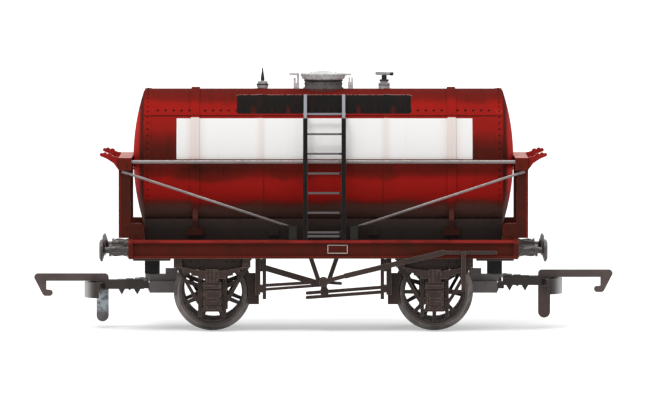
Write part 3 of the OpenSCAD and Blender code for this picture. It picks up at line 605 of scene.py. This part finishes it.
def addPiece(name, shapes, finish, slotName=None, body="wagon", smooth=False):
    slotName = slotName or finish
    verts, faces = joinShapes(shapes)
    mesh = bpy.data.meshes.new(name)
    mesh.from_pydata([tuple(mm * Vector(v)) for v in verts], [], faces)
    mesh.update()
    piece = bpy.data.objects.new(name, mesh)
    bpy.context.scene.collection.objects.link(piece)
    mesh.shade_smooth() if smooth else mesh.shade_flat()
    mesh.materials.append(finishes[finish])
    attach(piece, body)


def onCircle(radius, turn):
    return radius * math.cos(turn), radius * math.sin(turn)


def roundTurns(count, start=0.0):  # evenly spaced turns right round
    return [2 * math.pi * (i + start) / count for i in range(count)]


def circles(profile, count):
    return [(*onCircle(radius, turn), height) for radius, height in profile for turn in roundTurns(count)]


def bandFaces(low, high, count):  # faces between two loops of points
    return [(low + i, low + (i + 1) % count, high + (i + 1) % count, high + i) for i in range(count)]


def turned(profile, count=10):  # a (radius, height) outline turned round Z, base left open and top closed
    verts, faces = circles(profile, count), []
    last = (len(profile) - 1) * count
    for ring in range(0, last, count):
        faces += bandFaces(ring, ring + count, count)
    verts.append((0, 0, profile[-1][1]))
    faces += [(last + i, last + (i + 1) % count, len(verts) - 1) for i in range(count)]
    return verts, faces


def ringShape(profile, count=48):  # a closed outline of (radius, height) turned round Z
    verts, faces = circles(profile, count), []
    for ring in range(0, len(verts), count):
        faces += bandFaces(ring, (ring + count) % len(verts), count)
    return verts, faces


def dome(radius, height):
    steps = (0.0, 0.35, 0.7, 0.92)
    verts, faces = turned([(radius * math.sqrt(1 - s * s), height * s) for s in steps])
    verts[-1] = (0, 0, height)
    return verts, faces


def bolt(radius, height):  # six-sided, with a bevelled head
    return turned([(radius, 0), (radius, height * 0.8), (radius * 0.85, height)], 6)


def plateShape(points, thick, bevel=0.06):  # a flat outline raised along +Z with a bevelled rim
    count = len(points)
    centre = Vector((sum(p[0] for p in points) / count, sum(p[1] for p in points) / count))
    reach = max((Vector(p) - centre).length for p in points)
    inset = [centre + (Vector(p) - centre) * (1 - bevel / reach) for p in points]
    verts = [(p[0], p[1], 0) for p in points] + [(p[0], p[1], thick - bevel) for p in points]
    verts += [(p[0], p[1], thick) for p in inset]
    top = tuple(range(2 * count, 3 * count))
    return verts, [top, *bandFaces(0, count, count), *bandFaces(count, 2 * count, count)]


def boxOutline(width, height):
    x, y = width / 2, height / 2
    return [(-x, -y), (x, -y), (x, y), (-x, y)]


def archOutline(width, height, steps=10):  # flat foot and a round top, as high as 0.6 of its half width
    radius, rise = width / 2, width / 2 * 0.6
    arc = [onCircle(1, math.pi * i / steps) for i in range(steps + 1)]
    return [(-radius, 0), (radius, 0)] + [(radius * x, height - rise + rise * y) for x, y in arc]


def facing(place, normal):
    turn = Vector(normal).to_track_quat("Z", "Y").to_matrix().to_4x4()
    return Matrix.Translation(place) @ turn


def sideFace(x, y, z, side):  # upright face that looks out to one side; local X runs along the wagon
    turn = Matrix(((-side, 0, 0), (0, 0, side), (0, 1, 0))).to_4x4()
    return Matrix.Translation((x, side * y, z)) @ turn


def endFace(x, y, z, end):  # upright face that looks out of one end; local X runs across the wagon
    turn = Matrix(((0, 0, end), (end, 0, 0), (0, 1, 0))).to_4x4()
    return Matrix.Translation((end * x, y, z)) @ turn


def onBarrel(x, degrees, side, lift):
    across, up = onCircle(1, math.radians(degrees))
    normal = Vector((0, side * across, up))
    return facing(Vector((x, 0, tank["centre"])) + (tank["radius"] + lift) * normal, normal)


def mirrored(spots):
    return [(hand * x, z) for hand in sides for x, z in spots]


def atAxles(face, spots):  # (along, up) spots at each axlebox, on a face so far out from the middle
    return [sideFace(end * axle["x"] + x, face, z, side) for end in ends for side in sides for x, z in spots]


rivetRows = {"pitch": 1.42, "reach": 30.6, "angles": (44.6, -58.0), "bandGap": 0.95, "lift": 0.04,
             "size": 0.26, "height": 0.15}
endRow = {"x": 31.65, "pitch": 5.7, "lift": 0.03, "size": 0.19, "height": 0.12}


def buildBarrelRivets():
    rows = rivetRows
    count = int(rows["reach"] / rows["pitch"])
    steps = [i * rows["pitch"] for i in range(-count, count + 1)]
    clear = [x for x in steps if abs(abs(x) - tank["bandX"]) > rows["bandGap"]]
    places = [onBarrel(x, degrees, side, rows["lift"])
              for side in sides for degrees in rows["angles"] for x in clear]
    rivets = stamped(dome(rows["size"], rows["height"]), places)
    addPiece("barrel_rivets", rivets, "rivets", "tank_red", smooth=True)
    row = endRow
    turns = [i * row["pitch"] for i in range(int(360 / row["pitch"]))]
    places = [onBarrel(end * row["x"], degrees, 1, row["lift"]) for end in ends for degrees in turns]
    rivets = stamped(dome(row["size"], row["height"]), places)
    addPiece("end_rivets", rivets, "rivets", "tank_red", smooth=True)


seams = {"under": -0.05, "laps": ((39.2, 50.0), (-63.0, -53.0)), "lapThick": 0.12, "lapStep": 0.01,
         "lapCells": 12, "ringWidth": 2.4, "ringThick": 0.1, "ringStep": 0.001, "rimX": 32.25,
         "rimWidth": 1.3, "rimThick": 0.06, "rimStep": 0.1, "roundCells": 120}


def barrelStrip(reach, angles, lifts, columns, rows, liftAlong=False):
    verts, faces = [], []
    for i in range(columns + 1):
        for j in range(rows + 1):
            along, around = i / columns, j / rows
            x = reach[0] + (reach[1] - reach[0]) * along
            degrees = angles[0] + (angles[1] - angles[0]) * around
            lift = lifts[0] + (lifts[1] - lifts[0]) * (along if liftAlong else around)
            verts.append(onBarrel(x, degrees, 1, lift).translation)
    for i in range(columns):
        for j in range(rows):
            a = i * (rows + 1) + j
            faces.append((a, a + rows + 1, a + rows + 2, a + 1))
    return verts, faces


def buildSeams():  # each lap or ring is a step up to its edge and a slope back down
    look = seams
    under, rimX, rimThick = look["under"], look["rimX"], look["rimThick"]
    strips = []
    for low, high in look["laps"]:
        for mirror in sides:
            first, last = (low, high) if mirror > 0 else (180 - low, 180 - high)
            step = first + look["lapStep"] * mirror
            for angles, lifts, rows in (((first, last), (look["lapThick"], under), 6),
                                        ((first, step), (under, look["lapThick"]), 1)):
                strips.append(barrelStrip((-rimX, rimX), angles, lifts, look["lapCells"], rows))
    for end in ends:
        ring = end * tank["seamX"]
        rim = end * (rimX - look["rimWidth"])
        rimTop = rim + end * look["rimStep"]
        for reach, lifts, columns in (((ring, ring + end * look["ringWidth"]), (look["ringThick"], under), 4),
                                      ((ring, ring + look["ringStep"]), (under, look["ringThick"]), 1),
                                      ((rim, rimTop), (under, rimThick), 1),
                                      ((rimTop, end * rimX), (rimThick, rimThick), 4)):
            strips.append(barrelStrip(reach, (0, 360), lifts, columns, look["roundCells"], liftAlong=True))
    addPiece("barrel_seams", strips, "tank_red")


buildBarrelRivets()
buildSeams()
print("rivets and seams on the barrel")

axleboxFronts = {"face": edges("axleboxes_left")[1][1], "lidSize": (2.1, 2.5), "lidThick": 0.22,
                 "lidFoot": 5.0, "ridgeSize": (1.7, 0.2), "ridgeThick": 0.12, "ridgeBevel": 0.04,
                 "ridgeLift": 0.2, "ridgeUp": (0.55, 1.15), "lowBolts": ((0.85, 4.5),),
                 "cornerBolts": ((1.42, 6.65), (1.42, 8.15)), "cornerFace": 14.2, "boltSize": 0.2,
                 "boltHeight": 0.16}


def buildAxleboxFronts():
    look = axleboxFronts
    face, foot = look["face"], look["lidFoot"]
    lid = plateShape(archOutline(*look["lidSize"]), look["lidThick"])
    addPiece("axlebox_lids", stamped(lid, atAxles(face, [(0, foot)])), "underframe_brown")
    ridge = plateShape(boxOutline(*look["ridgeSize"]), look["ridgeThick"], look["ridgeBevel"])
    ridges = atAxles(face + look["ridgeLift"], [(0, foot + up) for up in look["ridgeUp"]])
    addPiece("axlebox_ridges", stamped(ridge, ridges), "underframe_brown")
    bolts = atAxles(face, mirrored(look["lowBolts"]))
    bolts += atAxles(look["cornerFace"], mirrored(look["cornerBolts"]))
    addPiece("axlebox_bolts", stamped(bolt(look["boltSize"], look["boltHeight"]), bolts), "underframe_brown")


springTrim = {"face": edges("springs_left")[1][1], "buckleBolts": ((0.9, 9.4), (0.9, 11.0)),
              "eyeFace": 14.2, "eyeBolts": ((6.2, 12.3),), "boltSize": 0.24, "boltHeight": 0.2,
              "straps": ((0.35, 10.2),), "strapSize": (0.3, 2.0), "strapThick": 0.14, "strapBevel": 0.04}


def buildSpringTrim():
    look = springTrim
    face = look["face"]
    bolts = atAxles(face, mirrored(look["buckleBolts"]))
    bolts += atAxles(look["eyeFace"], mirrored(look["eyeBolts"]))
    addPiece("spring_bolts", stamped(bolt(look["boltSize"], look["boltHeight"]), bolts), "underframe_brown")
    strap = plateShape(boxOutline(*look["strapSize"]), look["strapThick"], look["strapBevel"])
    addPiece("spring_straps", stamped(strap, atAxles(face, mirrored(look["straps"]))), "underframe_brown")


ironRivets = {"face": edges("w_iron_front_left")[1][1], "size": 0.19, "height": 0.13,
              "top": ((2.6, 12.6), (3.9, 12.6), (5.2, 12.6)),
              "legs": ((2.2, 4.0), (2.2, 5.6), (2.2, 8.9), (2.2, 10.0), (2.2, 11.6)),
              "struts": ((5.1, 9.9), (3.65, 7.15))}


def buildIronRivets():
    look = ironRivets
    places = atAxles(look["face"], mirrored(look["top"] + look["legs"] + look["struts"]))
    rivets = stamped(dome(look["size"], look["height"]), places)
    addPiece("w_iron_rivets", rivets, "underframe_brown", smooth=True)


solebarTrim = {"web": 14.3, "rivetX": (13.6, 16.5, 23.5, 26.4, 32.2, 33.4), "rivetZ": (14.25, 15.55),
               "rivetSize": 0.16, "rivetHeight": 0.09, "plateX": 2.55, "plateZ": 14.95,
               "plateSize": (3.6, 1.5), "plateThick": 0.1, "plateBevel": 0.05, "rimX": 1.75, "rimZ": 0.72,
               "rimWidth": 0.12, "rimLift": 0.06, "rimBevel": 0.03}


def buildSolebarTrim():  # rivets, and a blank plate with a pale rim on each side
    look = solebarTrim
    web, thick = look["web"], look["plateThick"]
    rivets = [sideFace(end * x, web, z, side) for side in sides for end in ends
              for x in look["rivetX"] for z in look["rivetZ"]]
    rivet = dome(look["rivetSize"], look["rivetHeight"])
    addPiece("solebar_rivets", stamped(rivet, rivets), "frame_red", smooth=True)
    plate = plateShape(boxOutline(*look["plateSize"]), thick, look["plateBevel"])
    plates = [sideFace(side * -look["plateX"], web, look["plateZ"], side) for side in sides]
    addPiece("blank_plates", stamped(plate, plates), "frame_red")
    rims = []
    for hand in sides:
        width, height = look["plateSize"]
        for x, z, size in ((0, hand * look["rimZ"], (width, look["rimWidth"])),
                           (hand * look["rimX"], 0, (look["rimWidth"], height))):
            rim = plateShape(boxOutline(*size), thick, look["rimBevel"])
            rims += stamped(rim, [sideFace(side * -look["plateX"] + x, web + look["rimLift"],
                                           look["plateZ"] + z, side) for side in sides])
    addPiece("blank_plate_rims", rims, "plates", "frame_red")


buffer = {"y": 11.4, "z": 14.6, "boltRing": 1.55, "boltSize": 0.2}
headstockTrim = {"face": 35.0, "rivetY": (2.6, 5.2, 7.6, 14.3), "rivetZ": (14.0, 16.0),
                 "rivetSize": 0.17, "rivetHeight": 0.1}


def buildHeadstockTrim():
    look = headstockTrim
    face = look["face"]
    rivets = [endFace(face, side * y, z, end)
              for end in ends for side in sides for y in look["rivetY"] for z in look["rivetZ"]]
    rivet = dome(look["rivetSize"], look["rivetHeight"])
    addPiece("headstock_rivets", stamped(rivet, rivets), "frame_red", smooth=True)
    corners = [onCircle(buffer["boltRing"], turn) for turn in roundTurns(4, 0.5)]
    bolts = [endFace(face, side * buffer["y"] + across, buffer["z"] + up, end)
             for end in ends for side in sides for across, up in corners]
    addPiece("buffer_bolts", stamped(bolt(buffer["boltSize"], buffer["boltSize"]), bolts), "buffer_metal")


postBolts = {"size": 0.2, "height": 0.15, "rows": (  # face, then places along and up on it
    (13.2, ((35.3, 17.6), (36.2, 17.6), (35.3, 18.7), (33.0, 18.8), (33.6, 17.4), (35.75, 28.4))),
    (14.0, ((35.3, 30.0),)))}


def buildPostBolts():
    look = postBolts
    places = [sideFace(end * x, face, z, side)
              for side in sides for end in ends for face, spots in look["rows"] for x, z in spots]
    addPiece("post_bolts", stamped(bolt(look["size"], look["height"]), places), "frame_red")


bufferRibs = {"count": 6, "halfThick": 0.14,  # outline of one web: along, and out from the buffer's middle
              "outline": ((35.4, 0.7), (35.4, 1.12), (36.1, 0.94), (37.4, 1.08), (38.0, 0.98), (38.0, 0.7))}


def buildBufferRibs():  # webs that stiffen each buffer housing
    outline, half = bufferRibs["outline"], bufferRibs["halfThick"]
    count = len(outline)
    verts = [(x, hand * half, out) for hand in sides for x, out in outline]
    faces = [tuple(range(count)), tuple(range(2 * count - 1, count - 1, -1)), *bandFaces(count, 0, count)]
    places = []
    for end in ends:
        flip = Matrix.Rotation(math.pi if end < 0 else 0, 4, "Z")
        for side in sides:
            housing = Matrix.Translation((0, side * buffer["y"], buffer["z"])) @ flip
            places += [housing @ Matrix.Rotation(turn, 4, "X") for turn in roundTurns(bufferRibs["count"])]
    addPiece("buffer_ribs", stamped((verts, faces), places), "buffer_metal")


buildAxleboxFronts()
buildSpringTrim()
buildIronRivets()
buildSolebarTrim()
buildHeadstockTrim()
buildPostBolts()
buildBufferRibs()
print("running gear and end details ready")

couplingTrim = {  # plates on the rear shank, turned to face the front: x, y, low and high
    "bevel": 0.12,
    "ribs": ((32.6, 37.4, -1.4, 1.4, 8.2, 8.85), (37.3, 40.6, 0.62, 1.4, 8.2, 8.75),
             (37.3, 40.6, -1.4, -0.62, 8.2, 8.75), (34.4, 35.8, -1.0, 1.0, 8.75, 8.97)),
    "pivot": ((31.9, 34.2, -1.1, 1.1, 8.5, 9.1), (32.5, 33.3, -0.5, 0.5, 9.0, 9.2))}


def flatPlates(blocks, bevel):  # bevelled plates that lie flat
    shapes = []
    for x0, x1, y0, y1, low, high in blocks:
        verts, faces = plateShape([(x0, y0), (x1, y0), (x1, y1), (x0, y1)], high - low, bevel)
        shapes.append(([(x, y, z + low) for x, y, z in verts], faces))
    return joinShapes(shapes)


def buildCouplingTrim():  # raised ribs on each shank and the plate that holds its pivot
    ribs, pivot = (flatPlates(couplingTrim[key], couplingTrim["bevel"]) for key in ("ribs", "pivot"))
    for name, turn in (("front", 0.0), ("rear", math.pi)):
        lift = edges("coupling_bar_" + name)[0][2] - edges("coupling_bar_rear")[0][2]
        place = [Matrix.Rotation(turn, 4, "Z") @ Matrix.Translation((0, 0, lift))]
        body = "coupling_" + name
        addPiece("shank_ribs_" + name, stamped(ribs, place), "coupling_black", body=body)
        addPiece("shank_plate_" + name, stamped(pivot, place), "strips", "coupling_black", body)


lidTrim = {"radius": 3.4, "bolts": 10, "boltRing": 3.75, "boltZ": 46.0, "boltSize": 0.24, "boltLean": 0.25,
           "rivets": 26, "rivetZ": 44.3, "rivetSize": 0.14, "rivetHeight": 0.1,
           "gasket": ((-0.1, 44.7), (0.1, 44.72), (0.13, 44.85), (0.1, 45.0), (-0.1, 45.02))}


def buildLidTrim():
    look = lidTrim
    gasket = ringShape([(look["radius"] + out, z) for out, z in look["gasket"]])
    addPiece("lid_gasket", [gasket], "black", "fitting_silver", smooth=True)
    bolts = [facing((*onCircle(look["boltRing"], turn), look["boltZ"]),
                    (*onCircle(look["boltLean"], turn), 1)) for turn in roundTurns(look["bolts"], 0.5)]
    addPiece("lid_bolts", stamped(bolt(look["boltSize"], look["boltSize"]), bolts), "fitting_silver")
    rivets = [facing((*onCircle(look["radius"], turn), look["rivetZ"]), (*onCircle(1, turn), 0))
              for turn in roundTurns(look["rivets"])]
    rivet = dome(look["rivetSize"], look["rivetHeight"])
    addPiece("neck_rivets", stamped(rivet, rivets), "neck", "fitting_silver", smooth=True)


ventTrim = {"x": -11.0, "sides": 16, "collar": ((0.9, 44.02), (1.12, 44.06), (1.12, 44.2), (0.9, 44.24)),
            "tip": ((0.36, 44.95), (0.3, 45.6), (0.16, 46.4), (0.05, 47.1))}
valveTrim = {"x": 11.0, "sides": 16, "rings": ((0.8, 43.95), (1.1, 44.0), (1.1, 44.1), (0.8, 44.15)),
             "neck": ((0.44, 45.05), (0.5, 45.2), (0.44, 45.35), (0.5, 45.5), (0.44, 45.8)),
             "knob": ((0.05, -0.35), (0.3, -0.33), (0.33, 0.0), (0.3, 0.3), (0.1, 0.36)),
             "knobPlace": (12.35, 0, 46.05), "knobRadius": 0.33, "knobHalf": (0.34, 0.48)}


def buildValveTrim():
    vent, valve = ventTrim, valveTrim
    half, radius = valve["knobHalf"], valve["knobRadius"]
    oval = Matrix.Diagonal((half[0] / radius, half[1] / radius, 1, 1))
    knobPlace = Matrix.Translation(valve["knobPlace"]) @ Matrix.Rotation(math.pi / 2, 4, "Y") @ oval
    ventPlace, valvePlace = (Matrix.Translation((look["x"], 0, 0)) for look in (vent, valve))
    for name, shape, place in (("vent_collar", ringShape(vent["collar"]), ventPlace),
                               ("vent_tip", turned(vent["tip"], vent["sides"]), ventPlace),
                               ("valve_neck", turned(valve["neck"], valve["sides"]), valvePlace),
                               ("valve_rings", ringShape(valve["rings"]), valvePlace),
                               ("valve_knob", turned(valve["knob"], valve["sides"]), knobPlace)):
        addPiece(name, stamped(shape, [place]), "black", "fitting_silver", smooth=True)


buildCouplingTrim()
buildLidTrim()
buildValveTrim()
print("coupling and top fittings ready")

# floor, light and camera, in metres

studio = {"floorReach": 6.0, "floorColour": (0.8, 0.8, 0.8), "floorGlow": 0.42, "sky": 0.5,
          "suns": ((1.25, 55, -22, 25), (0.6, 80, 0, 60), (0.5, 38, 150, 40))}  # strength, height, turn, size


def whiteAtCamera(tree):  # 1 for rays that show a background, 0 for rays that light things
    path = put(tree, "ShaderNodeLightPath").outputs
    seen = calc(tree, "MAXIMUM", path["Is Camera Ray"], path["Is Glossy Ray"])
    return calc(tree, "MAXIMUM", seen, path["Is Transmission Ray"])


def buildFloor():
    mesh = bpy.data.meshes.new("floor")
    width = 2 * studio["floorReach"]
    mesh.from_pydata([(x, y, 0) for x, y in boxOutline(width, width)], [], [(0, 1, 2, 3)])
    floor = bpy.data.objects.new("floor", mesh)
    bpy.context.scene.collection.objects.link(floor)
    material, tree, shader = startMaterial("floorPaper")
    glow = times(tree, whiteAtCamera(tree), studio["floorGlow"])
    for label, value in (("Base Color", studio["floorColour"]), ("Roughness", 1.0),
                         ("Specular IOR Level", 0.0), ("Emission Color", (1, 1, 1)),
                         ("Emission Strength", glow)):
        feed(tree, shader.inputs[label], value)
    mesh.materials.append(material)


def buildWorld():  # white where it is seen, dimmer where it only lights the wagon
    world = bpy.data.worlds.new("studioWorld")
    bpy.context.scene.world = world
    world.use_nodes = True
    tree = world.node_tree
    strength = plus(tree, times(tree, whiteAtCamera(tree), 1.0 - studio["sky"]), studio["sky"])
    back = tree.nodes["Background"]
    feed(tree, back.inputs["Color"], (1, 1, 1))
    feed(tree, back.inputs["Strength"], strength)


def buildSuns():
    for index, (strength, height, turn, size) in enumerate(studio["suns"]):
        lamp = bpy.data.lights.new("studioSun%d" % index, "SUN")
        lamp.energy, lamp.angle = strength, math.radians(size)
        holder = bpy.data.objects.new(lamp.name, lamp)
        bpy.context.scene.collection.objects.link(holder)
        holder.rotation_euler = (math.radians(90 - height), 0, math.radians(turn))


view = {"distance": 1.6, "elevation": 2.5, "width": 0.11685, "sensor": 36.0,
        "target": (-0.00016, 0.0, 0.0229), "clip": (0.05, 20.0)}


def buildCamera():
    camera = bpy.data.cameras.new("camera")
    camera.sensor_width = view["sensor"]
    camera.lens = view["sensor"] * view["distance"] / view["width"]
    camera.clip_start, camera.clip_end = view["clip"]
    holder = bpy.data.objects.new("camera", camera)
    bpy.context.scene.collection.objects.link(holder)
    rise = math.radians(view["elevation"])
    holder.location = Vector(view["target"]) + view["distance"] * Vector((0, -math.cos(rise), math.sin(rise)))
    holder.rotation_euler = (math.pi / 2 - rise, 0, 0)
    bpy.context.scene.camera = holder


buildFloor()
buildWorld()
buildSuns()
buildCamera()
bpy.context.scene.view_settings.view_transform = "Standard"
print("stage ready")
